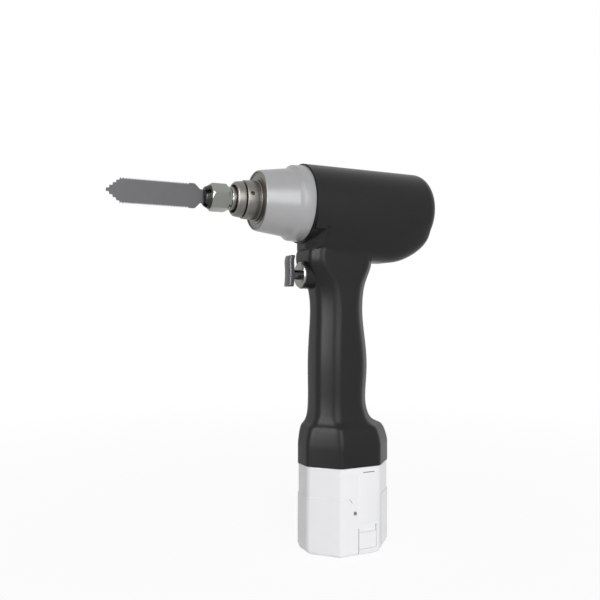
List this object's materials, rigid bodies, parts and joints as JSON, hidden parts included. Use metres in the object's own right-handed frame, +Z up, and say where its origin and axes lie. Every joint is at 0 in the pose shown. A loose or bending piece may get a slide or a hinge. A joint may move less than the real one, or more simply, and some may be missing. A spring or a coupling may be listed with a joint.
{
  "type": "surgical bone saw",
  "caption": "Cordless pistol-grip reciprocating bone saw with a double-edged blade, collet chuck, finger trigger and slide-on battery.",
  "frame": {"origin": "middle of the battery's flat base, on which the saw stands", "axes": "-X along the blade, towards its tip; +Z up the grip; the trigger is on the -X side"},
  "size_m": [0.2057, 0.0492, 0.2396],
  "materials": {
    "black_shell": "satin black moulded coat",
    "silver_nose": "satin silver, fine turned grain",
    "dark_steel": "dark turned steel",
    "chuck_steel": "blackened steel",
    "bright_steel": "bright machined steel",
    "trigger_chrome": "polished steel",
    "blade_steel": "flat grey hardened steel",
    "white_case": "glossy white moulded plastic",
    "inner_steel": "ground steel",
    "inner_aluminium": "plain turned aluminium",
    "magnet": "grey magnet",
    "bronze": "bronze",
    "seal_rubber": "black rubber",
    "inner_plastic": "black moulded plastic",
    "circuit_board": "green circuit board",
    "cell_wrap": "blue sleeve"
  },
  "bodies": {
    "handle": {"cap_screws": "bright_steel", "contact_block": "inner_plastic", "controller_board": "circuit_board", "crank_bearing": "inner_steel", "foot_plate": "inner_plastic", "front_bush": "bronze", "gear_frame": "inner_aluminium", "hall_sensor": "inner_plastic", "lock_collar": "dark_steel", "lock_screw": "dark_steel", "main_housing": "black_shell", "motor_bearings": "inner_steel", "motor_can": "inner_steel", "motor_front_plate": "inner_aluminium", "motor_rear_plate": "inner_aluminium", "motor_ring": "inner_aluminium", "nose_housing": "silver_nose", "nose_plate": "dark_steel", "nose_seal": "seal_rubber", "rear_bush": "bronze", "rear_cap": "black_shell", "stator": "inner_steel", "trigger_bush": "bright_steel", "trigger_spring": "inner_steel", "wiper_cap": "dark_steel", "wiper_seal": "seal_rubber"},
    "battery": {"battery_case": "white_case", "front_cover": "white_case", "rear_cover": "white_case", "cover_pins": "bright_steel", "battery_lid": "inner_plastic", "battery_cells": "cell_wrap", "cell_links": "bronze", "battery_contacts": "bronze", "button_spring_near": "inner_steel", "button_spring_far": "inner_steel"},
    "near_button": {"release_button_near": "white_case"},
    "far_button": {"release_button_far": "white_case"},
    "trigger": {"trigger_pad": "trigger_chrome", "trigger_stem": "trigger_chrome", "trigger_magnet": "magnet"},
    "motor_rotor": {"motor_shaft": "inner_steel", "rotor": "magnet", "pinion": "inner_steel"},
    "crank": {"crank_gear": "inner_steel", "crank_roller": "inner_steel"},
    "ram": {"ram": "bright_steel", "ram_yoke": "inner_steel"},
    "collet": {"collet": "chuck_steel"},
    "nut": {"collet_nut": "bright_steel"},
    "blade": {"saw_blade": "blade_steel"}
  },
  "joints": [
    {"name": "motor_turn", "type": "hinge", "parent": "handle", "child": "motor_rotor", "pos_m": [0.03, 0, 0.215], "axis": [1, 0, 0], "range_deg": [-270.5, 270.5]},
    {"name": "crank_turn", "type": "hinge", "parent": "handle", "child": "crank", "pos_m": [-0.012, 0, 0.215], "axis": [0, -1, 0], "range_deg": [-91, 91]},
    {"name": "ram_stroke", "type": "slide", "parent": "handle", "child": "ram", "axis": [-1, 0, 0], "range_m": [-0.0025, 0.0025]},
    {"name": "collet_travel", "type": "slide", "parent": "ram", "child": "collet", "axis": [-1, 0, 0], "range_m": [0, 0.0005]},
    {"name": "nut_turn", "type": "hinge", "parent": "collet", "child": "nut", "pos_m": [-0.0834, 0, 0.215], "axis": [-1, 0, 0], "range_deg": [0, 181]},
    {"name": "blade_pull", "type": "slide", "parent": "collet", "child": "blade", "axis": [-1, 0, 0], "range_m": [0, 0.015]},
    {"name": "trigger_press", "type": "slide", "parent": "handle", "child": "trigger", "axis": [1, 0, 0], "range_m": [0, 0.004], "stiffness_N_per_m": 900, "springref_m": -0.002, "deforming": ["trigger_spring"]},
    {"name": "battery_release", "type": "slide", "parent": "handle", "child": "battery", "axis": [0, 0, -1], "range_m": [0, 0.03]},
    {"name": "near_button_press", "type": "slide", "parent": "battery", "child": "near_button", "axis": [0, 1, 0], "range_m": [0, 0.0015], "stiffness_N_per_m": 800, "springref_m": -0.001, "deforming": ["button_spring_near"]},
    {"name": "far_button_press", "type": "slide", "parent": "battery", "child": "far_button", "axis": [0, -1, 0], "range_m": [0, 0.0015], "stiffness_N_per_m": 800, "springref_m": -0.001, "deforming": ["button_spring_far"]}
  ],
  "couplings": [
    {"joint": "motor_turn", "follows": "ram_stroke", "rad_per_m": 1885},
    {"joint": "crank_turn", "follows": "ram_stroke", "rad_per_m": 628.32},
    {"joint": "nut_turn", "follows": "collet_travel", "rad_per_m": 6283.2}
  ]
}
